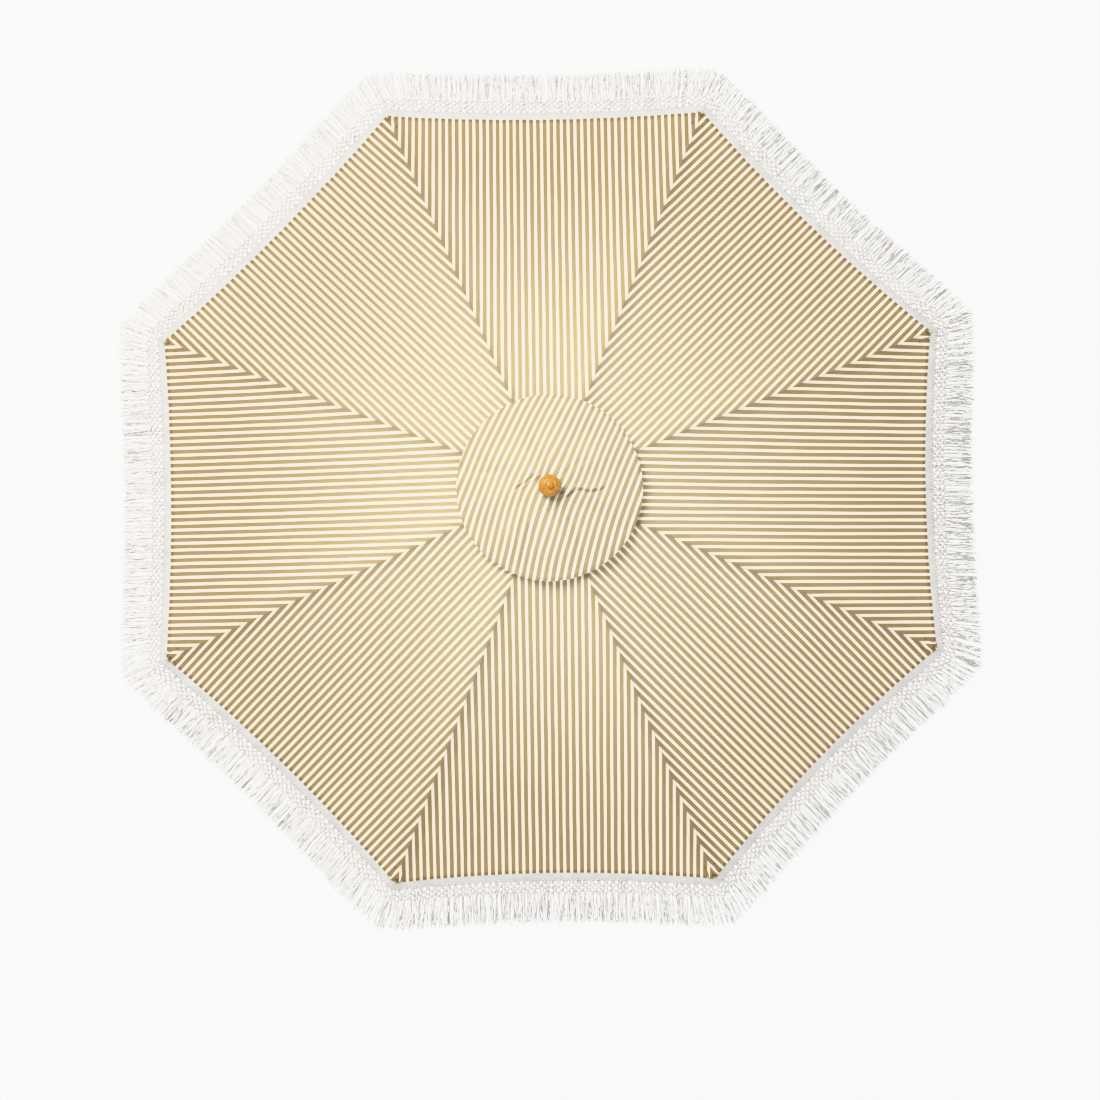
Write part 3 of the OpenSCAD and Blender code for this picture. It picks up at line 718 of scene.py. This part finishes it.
class HalfFringe:
    """Yarns, knots and strands along half a panel's hem: x from the panel's middle, d from the hem."""

    def __init__(self, i, side):
        self.panel, self.sign = panel_of(i, side)
        self.rng = np.random.default_rng(100 * i + (side > 0))
        self.shape = Shape()
        shift = np.clip(self.rng.normal(0, 1, (len(KNOT_ROWS), CORDS + 1, 2)), -1.6, 1.6) * (0.0011, 0.0013)
        shift[:, [0, CORDS]] = 0  # these knots are shared with the next half
        self.shift = shift

    def run(self, x, d, lift, radius, sides=3):
        self.shape.tube(fringe_point(self.panel, self.sign * x, d, lift), radius, sides)

    def knot(self, x, d, size=1.0):
        here = fringe_point(self.panel, self.sign * x, d, 0.0)
        along = fringe_point(self.panel, self.sign * x, d + 0.004, 0.0) - here
        along /= np.linalg.norm(along)
        cross = np.cross(along, (0, 0, 1.0))
        cross /= np.linalg.norm(cross)
        radii = np.array([0.0050, 0.0048, 0.0038]) * self.rng.uniform(0.88, 1.15, 3) * size
        ellipsoid(self.shape, here, radii, np.stack([cross, along, np.cross(cross, along)]))

    def cord(self, k):
        """Two yarns side by side, from the tape down through this cord's knots."""
        rng = self.rng
        x0 = (k + 0.5) * CORD_PITCH
        self.knot(x0, NET_START, 0.82)
        stops_d, stops_x = [0.0245, 0.0300], [x0, x0]
        for row, d in enumerate(KNOT_ROWS):
            at = knot_place(k, row)
            tied, deep = at * CORD_PITCH + self.shift[row, at, 0], d + self.shift[row, at, 1]
            lean = math.copysign(0.0018, x0 - tied)
            stops_d += [deep - 0.0022, deep + 0.0022]
            stops_x += [tied + lean, tied + lean]
        between = [np.linspace(a, b, 4)[:-1] for a, b in zip(stops_d[1:-1:2], stops_d[2::2])]
        d = np.concatenate([[stops_d[0]], *between, [stops_d[-1]]])
        x = np.interp(d, stops_d, stops_x)
        for yarn in (-0.0015, 0.0015):
            loose = yarn + rng.normal(0, 0.0009, len(d))
            lift = -0.0012 + 0.0010 * rng.standard_normal() + 0.0008 * np.sin(d * 160 + k)
            self.run(x + loose, d, lift, rng.uniform(0.0019, 0.0024), 4)

    def hanging_behind(self, k):
        """Long strands that hang from the tape behind the net."""
        rng = self.rng
        x0 = (k + 0.5) * CORD_PITCH
        q = np.linspace(0, 1, 12)
        for _ in range(3):
            end = rng.uniform(0.186, 0.203)
            sway = (rng.uniform(-0.5, 0.5) * CORD_PITCH
                    + 0.0022 * np.sin(q * rng.uniform(4, 14) + rng.uniform(0, ROUND)))
            self.run(np.clip(x0 + sway, 0, HEM_HALF), STRAND_START + (end - STRAND_START) * q,
                     -0.0035 - 0.001 * q, rng.uniform(0.0011, 0.0015))

    def knots(self, side):
        """The net's knots. Each knot on the border of two halves belongs to one of them."""
        for row, d in enumerate(KNOT_ROWS):
            size = 1.12 if d == KNOT_ROWS[-1] else 1.0
            for at in range(1 if row % 2 == 0 else 0, CORDS + 1, 2):
                if at == (0 if side < 0 else CORDS):
                    continue
                self.knot(at * CORD_PITCH + self.shift[row, at, 0], d + self.shift[row, at, 1], size)

    def strand(self, at, start, end, target):
        """A hanging strand that spreads towards its target, with fibres at its frayed end."""
        rng = self.rng
        q = np.linspace(0, 1, 9)
        phase = rng.uniform(0, ROUND, 2)
        x = (at * CORD_PITCH + target * (0.22 + 0.78 * q ** 0.45)
             + 0.0016 * q * np.sin(q * rng.uniform(5, 10) + phase[0])
             + 0.0032 * rng.normal() * q ** 4)
        x = np.minimum(x, HEM_HALF)
        lift = (rng.normal(0, 0.0022) * q + 0.0016 * q * np.sin(q * 8 + phase[1])
                + rng.normal(0, 0.003) * q ** 3)
        thin = (1 - 0.55 * smooth(0.86, 1.0, q)) * (0.75 + 0.25 * smooth(0, 0.1, q))
        self.run(x, start + (end - start) * q, lift, rng.uniform(0.00105, 0.00145) * thin)
        q = np.linspace(0, 1, 4)
        for _ in range(2):
            d = np.minimum(end - 0.006 + rng.uniform(0.008, 0.018) * q, LONGEST_FIBRE)
            fibre_x = np.minimum(x[-1] + rng.normal(0, 0.004) * q, HEM_HALF)
            self.run(fibre_x, d, lift[-1] + rng.normal(0, 0.002) * q, 0.00045)

    def tassels(self):
        """Strands below the net, six from a knot and three from the place between two knots."""
        rng = self.rng
        lean = 0.0
        for at in range(1, CORDS + 1):
            knotted = at % 2 == 1
            start = KNOT_ROWS[-1 if knotted else -2] + 0.002
            lean = 0.55 * lean + rng.normal(0, 0.0030)
            length = rng.uniform(0.189, 0.201)
            for _ in range(6 if knotted else 3):
                end = min(length + rng.normal(0, 0.0040), LONGEST_STRAND)
                target = rng.uniform(-1, 1) * (0.0098 if knotted else 0.0060) + lean
                if at == CORDS:
                    target = -abs(target)
                self.strand(at, start, end, target)


def fringe_cords(i, side, cotton):
    """Cords from the tape, tied into a net with five rows of knots, then strands with frayed ends."""
    half = HalfFringe(i, side)
    for k in range(CORDS):
        half.cord(k)
        half.hanging_behind(k)
    half.knots(side)
    half.tassels()
    return half.shape.piece(half_name("fringe_cords", i, side), f"rib_arm_{i}", "cotton", cotton,
                            smooth_faces=False)


# ------------------------ the vent cap
CREASES = (  # folds that run out from the knob: points in metres, depth, half width
    (((0.022, -0.041), (0.065, -0.032), (0.096, -0.010), (0.135, -0.019), (0.170, -0.014), (0.205, -0.001)),
     0.0105, 0.0048),
    (((-0.026, 0.047), (-0.044, 0.044), (-0.065, 0.029), (-0.087, 0.012), (-0.109, -0.001), (-0.131, -0.019)),
     0.0095, 0.0042),
    (((-0.026, -0.036), (-0.011, -0.067), (0.004, -0.093)), 0.0070, 0.0045),
    (((-0.096, -0.106), (-0.115, -0.190), (-0.137, -0.289)), 0.0065, 0.0080),
    (((0.035, 0.030), (0.090, 0.075), (0.150, 0.098)), 0.0026, 0.0090),
    (((-0.150, 0.060), (-0.230, 0.050), (-0.300, 0.062)), 0.0034, 0.0100),
    (((0.060, -0.100), (0.100, -0.170), (0.120, -0.240)), 0.0026, 0.0110),
)
CAP_HOLE, CAP_BEND = 0.026, 0.055  # radii of the hole for the knob and of the bend past the crown


def distance_to(points, x, y):
    """Distance to a broken line, how far along it the nearest point is, from 0 to 1, and on which side."""
    best = np.full(x.shape, np.inf)
    at = np.zeros(x.shape)
    side = np.zeros(x.shape)
    n = len(points) - 1
    for k in range(n):
        (ax, ay), (bx, by) = points[k], points[k + 1]
        dx, dy = bx - ax, by - ay
        q = np.clip(((x - ax) * dx + (y - ay) * dy) / (dx * dx + dy * dy), 0, 1)
        px, py = x - ax - q * dx, y - ay - q * dy
        dist = np.hypot(px, py)
        closer = dist < best
        best = np.where(closer, dist, best)
        at = np.where(closer, (k + q) / n, at)
        side = np.where(closer, np.sign(dx * py - dy * px), side)
    return best, at, side


def cap_point(x, y, lift=0.0):
    """The cap's cloth over a place in plan: flat on the crown, sloping outside it, creased and rippled."""
    r = np.hypot(x, y)
    phi = np.arctan2(y, x)
    past_bend = (np.log1p(np.exp(-np.abs(r - CAP_BEND) / 0.006)) * 0.006 + np.clip(r - CAP_BEND, 0, None))
    z = CROWN_TOP + 0.0008 + 0.0030 * smooth(0.030, 0.040, r) - math.tan(CAP_SLOPE) * past_bend
    free = smooth(0.034, 0.085, r)
    d = free * (0.0042 * perlin(x * 7.5, y * 7.5, 3.0) + 0.0022 * perlin(x * 17, y * 17, 8.0) + 0.0010)
    # each crease is a groove, masked over the crown, with a soft ridge on one side
    off_crown = smooth(0.050, 0.074, r)
    for points, depth, width in CREASES:
        dist, at, side = distance_to(points, x, y)
        ends = smooth(0.0, 0.10, at) * smooth(1.0, 0.80, at)
        d -= depth * ends * np.exp(-(dist / width) ** 2) * off_crown
        d += 0.62 * depth * ends * np.exp(-((side * dist - 1.9 * width) / (1.3 * width)) ** 2)
    # fine gathers round the knob
    gathers = np.cos(23 * phi + 3 * perlin(np.cos(phi) * 2, np.sin(phi) * 2, 4.0))
    d += 0.0011 * gathers * smooth(0.030, 0.036, r) * np.exp(-(r - 0.036) / 0.030)
    # the rim ripples, most of all on the -X side, and turns down at the hem
    ripples = np.sin(31 * phi + 5 * perlin(np.cos(phi) * 3, np.sin(phi) * 3, 9.0))
    d += 0.0026 * (1.0 + 0.6 * np.clip(-np.cos(phi), 0, 1)) * np.exp(-(CAP_R - r) / 0.024) * ripples
    d -= 0.0022 * smooth(CAP_R - 0.010, CAP_R, r)
    return np.stack([x, y, z + d + lift], -1)


def cap_uv(x, y):
    """Cloth coordinates of the cap: its stripes lean, and twist where the knob has turned the cloth."""
    r = np.hypot(x, y)
    lean = math.radians(21.5) + 0.17 * np.exp(-(r / 0.14) ** 2) * np.abs(np.cos(np.arctan2(y, x)))
    c, s = np.cos(lean), np.sin(lean)
    across = x * c - y * s - 0.26 * y * y + 0.004 * perlin(x * 6, y * 6, 12.0)
    along = x * s + y * c
    return np.stack([across, along], -1), np.stack([np.full(x.shape, NO_SEAM), CAP_R - r], -1)


def cap_sector(i, a, v):
    """Plan position in rib i's sector: a out along the rib, v from -1 to 1 across."""
    return in_plan(a, v * a * math.tan(HALF), rib_azimuth(i))


def cap_inner(i, canvas):
    """The cap's middle in rib i's sector, from the hole round the knob out to CAP_HINGE."""
    v = np.linspace(-1, 1, 17)[None, :]
    start = CAP_HOLE * np.cos(np.arctan(v * math.tan(HALF)))
    a = start + (CAP_HINGE - start) * np.linspace(0, 1, 15)[:, None]
    x, y = cap_sector(i, a, v)
    uv, edge = cap_uv(x, y)
    s = Shape()
    s.grid(cap_point(x, y), uv, edge, flip=True)
    piece = s.piece(f"cap_middle_{i}", None, "striped_cloth", canvas)
    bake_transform(piece)
    return piece


def cap_outer(i, side, canvas):
    """Half of the cap's slope in rib i's sector, with its turned rim."""
    v = side * np.linspace(0, 1, 31)[None, :]
    stop = CAP_R * np.cos(np.arctan(v * math.tan(HALF)))
    q = np.concatenate([np.linspace(0, 0.955, 100), [0.965, 0.975, 0.985, 0.994, 1.0]])[:, None]
    a = CAP_HINGE + (stop - CAP_HINGE) * q
    x, y = cap_sector(i, a, v)
    uv, edge = cap_uv(x, y)
    s = Shape()
    s.grid(cap_point(x, y), uv, edge, flip=side > 0)
    turned_in = ((1.0, 0.0), (0.994, -0.0022), (0.97, -0.0018))
    rim = np.stack([cap_point(x[-1] * share, y[-1] * share, lift) for share, lift in turned_in])
    rim_uv = np.stack([uv[-1] * share for share, _ in turned_in])
    s.grid(rim, rim_uv, np.stack([edge[-1]] * 3), flip=side > 0)
    piece = s.piece(half_name("cap", i, side), f"rib_arm_{i}", "striped_cloth", canvas)
    gather(piece)
    return piece


def cap_band(i, canvas):
    """Strip under the cap that stays over the rib when the canopy is folded."""
    a = np.linspace(0.062, CAP_R - 0.030, 26)[:, None]
    x, y = in_plan(a, 0.023 * np.linspace(-1, 1, 9)[None, :], rib_azimuth(i))
    uv, edge = cap_uv(x, y)
    s = Shape()
    s.grid(cap_point(x, y, -0.0024), uv, edge, flip=True)
    return s.piece(f"cap_band_{i}", f"rib_arm_{i}", "striped_cloth", canvas)


# ------------------------ knob, corners and small fittings
def on_rib(i):
    """Matrix of rib i when open: X out along it from its hinge, and Z square to it."""
    return (Matrix.Rotation(rib_azimuth(i), 4, "Z") @ Matrix.Translation((PIVOT_R, 0, PIVOT_Z))
            @ Matrix.Rotation(SLOPE, 4, "Y"))


def make_finial(wood):
    """Turned knob: round foot with a bead, narrow waist, full ball and a small nub."""
    profile = [(0.0045, 0.0005), (0.027, 0.0), (0.0295, 0.0004), (0.0308, 0.0016), (0.0312, 0.0035),
               (0.0308, 0.0055), (0.0292, 0.0074), (0.0262, 0.0088), (0.0236, 0.0098), (0.0226, 0.0112),
               (0.0222, 0.0132)]
    for a in np.radians(np.linspace(-54, 60, 30)):
        profile.append((0.039 * math.cos(a), 0.040 + 0.030 * math.sin(a)))
    profile += [(0.0172, 0.0664), (0.0154, 0.0660), (0.0141, 0.0664), (0.0137, 0.0680), (0.0140, 0.0702),
                (0.0134, 0.0728), (0.0116, 0.0752), (0.0088, 0.0769), (0.0045, 0.0778), (0.0020, 0.0780),
                (0.00002, 0.0780)]
    s = Shape()
    s.lathe(profile, 72, Matrix.Translation((0, 0, KNOB_Z)))
    knob = s.piece("turned_knob", "mast", "knob_timber", wood)
    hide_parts("finial")


def eyelet(i, bronze):
    """Eyelet through the doubled corner over the rib's tip."""
    r = CANOPY_R - 0.014
    top = seam_z(r) + CLOTH_T + 0.0017
    az = rib_azimuth(i)
    place = (Matrix.Translation((*in_plan(r, 0, az), top)) @ Matrix.Rotation(az, 4, "Z")
             @ Matrix.Rotation(SLOPE, 4, "Y"))
    s = Shape()
    s.lathe([(0.0, -0.0008), (0.0022, -0.0008), (0.0024, 0.0002), (0.0031, 0.0009), (0.0040, 0.0011),
             (0.0048, 0.0008), (0.0053, 0.0001), (0.0054, -0.0009), (0.0030, -0.0012)], 24, place)
    s.piece(f"corner_eyelet_{i}", f"rib_arm_{i}", "brass", bronze)


def tip_pocket(i, canvas):
    """Pocket of doubled cloth sewn under the corner, which the rib's tip sits in."""
    start, end = 1.462, 1.5235
    sewn_z, sewn_share = 0.0134, 0.28           # height of the two sewn flanges, and their share of the width
    length = np.linspace(start, end, 16)
    turn = np.linspace(-1, 1, 25)
    bag = turn / (1 - sewn_share) * math.pi / 2
    sewn = np.abs(turn) > 1 - sewn_share
    rows = []
    for x in length:
        mouth = 1 - smooth(start, start + 0.012, x)
        close = smooth(1.505, end, x)
        wide, deep = 0.0128 - 0.0035 * close, 0.0175 - 0.0075 * close + 0.002 * mouth
        flange = 0.022 - 0.010 * close
        out = (np.abs(turn) - (1 - sewn_share)) / sewn_share
        y = np.where(sewn, np.sign(turn) * (wide + out * (flange - wide)), wide * np.sin(bag))
        z = np.where(sewn, sewn_z, sewn_z - deep * np.abs(np.cos(bag)) ** 0.55)
        rows.append(np.stack([np.full(len(turn), x), y, z], -1))
    local = np.array(rows)
    uv = np.stack([local[..., 1] * 1.4, local[..., 0]], -1)
    edge = np.stack([np.full(uv.shape[:2], NO_SEAM), local[..., 0] - start], -1)
    s = Shape()
    s.grid(placed(local, on_rib(i)), uv, edge)
    return s.piece(f"tip_pocket_{i}", f"rib_arm_{i}", "striped_cloth", canvas)


def rib_ties(i, tape):
    """Cotton tapes round the rib that hold the cloth down to it."""
    s = Shape()
    half_w, top, corner = 0.0102, 0.0152, 0.0025
    for x0 in (0.360, 0.860, 1.200):
        depth = 0.0132 - 0.009 * max(x0 - 0.68, 0) / 0.82  # the rib tapers towards its tip
        right = [(half_w, top), (half_w, 0.004), (half_w, corner - depth), (half_w - 0.0022, -depth)]
        path = np.array(right + [(0, -depth - 0.0002)] + [(-y, z) for y, z in right[::-1]])
        steps = np.array([0, 0.34, 0.67])[None, :, None]
        fine = (path[:-1, None] + (path[1:] - path[:-1])[:, None] * steps).reshape(-1, 2)
        yz = np.concatenate([fine, path[-1:]])
        across = np.linspace(-1, 1, 5)
        xs = x0 + 0.0075 * across
        puff = 0.0005 * (1 - across ** 2)
        points = np.stack(np.broadcast_arrays(xs[None, :], yz[:, :1] * (1 + puff / half_w),
                                              yz[:, 1:] - puff), -1)
        uv = np.stack(np.broadcast_arrays(xs[None, :], np.linspace(0, 0.07, len(yz))[:, None]), -1)
        s.grid(placed(points, on_rib(i)), uv)
    return s.piece(f"rib_ties_{i}", f"rib_arm_{i}", "cotton", tape)


# ------------------------ putting it together
make_camera()
make_studio()

canvas = canvas_material("striped_canvas")
cap_canvas = canvas_material("cap_canvas", panel=False)
tape = cotton_material("cotton_tape", tape=True)
cotton = cotton_material("cotton_yarn")
RIB_TIMBER = (0.560, 0.345, 0.165), (0.400, 0.215, 0.085)
rib_wood = wood_material("rib_timber", *RIB_TIMBER, fall=SLOPE)
strut_wood = wood_material("strut_timber", *RIB_TIMBER, fall=-STRUT_SLOPE)
pole_wood = wood_material("pole_timber_oiled", (0.500, 0.290, 0.125), (0.340, 0.170, 0.060), figure=1.3)
turned_wood = wood_material("turned_timber", (0.540, 0.310, 0.135), (0.370, 0.190, 0.070),
                            coat=0.4, roughness=0.36)
knob_wood = wood_material("knob_timber_varnished", (0.410, 0.202, 0.025), (0.290, 0.120, 0.013),
                          coat=0.15, roughness=0.38, figure=0.8)
brass = metal_material("aged_brass", (0.80, 0.58, 0.27), (0.42, 0.27, 0.11), 0.24)
bronze = metal_material("dark_bronze", (0.20, 0.14, 0.08), (0.09, 0.06, 0.04), 0.42)
steel = metal_material("galvanised_steel", (0.36, 0.37, 0.38), (0.22, 0.22, 0.22), 0.34)

# the first start of a name that fits decides
CAD_LOOKS = (("rib_", rib_wood), ("strut_", strut_wood), ("bracket_pin", steel), ("bracket", brass),
             ("tip_cap", brass), ("pole_", pole_wood), ("ground_spike", steel), ("spike_pin", steel),
             ("ferrule_pin", steel), ("ferrule", brass), ("crown_ring", steel), ("crown", turned_wood),
             ("runner_screw", brass), ("runner", turned_wood), ("cap_washer", brass), ("finial_stud", steel),
             ("finial", knob_wood), ("vent_cap", cap_canvas), ("canopy", canvas), ("fringe", cotton))
for name, obj in NODES.items():
    look = next(m for start, m in CAD_LOOKS if name.startswith(start))
    obj.data.materials.clear()
    obj.data.materials.append(look)
    if name.startswith(("rib_", "strut_")):
        eased = obj.modifiers.new("eased_edges", "BEVEL")
        eased.width, eased.segments = 0.0014, 2
        eased.limit_method, eased.angle_limit = "ANGLE", math.radians(40)

for i in range(1, RIBS + 1):
    eyelet(i, bronze)
    band = rib_band(i, canvas)
    cap_strip = cap_band(i, cap_canvas)
    pocket = tip_pocket(i, canvas)
    ties = rib_ties(i, tape)
    middle = cap_inner(i, cap_canvas)
    for side in (1, -1):
        panel = half_panel(i, side, canvas)
        header = fringe_header(i, side, tape)
        cords = fringe_cords(i, side, cotton)
        cap = cap_outer(i, side, cap_canvas)
        gather(panel)
        gather(header)
        gather(cords)
        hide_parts("canopy")
        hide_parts("fringe")
        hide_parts("fringe")
        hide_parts("vent_cap")
make_finial(knob_wood)
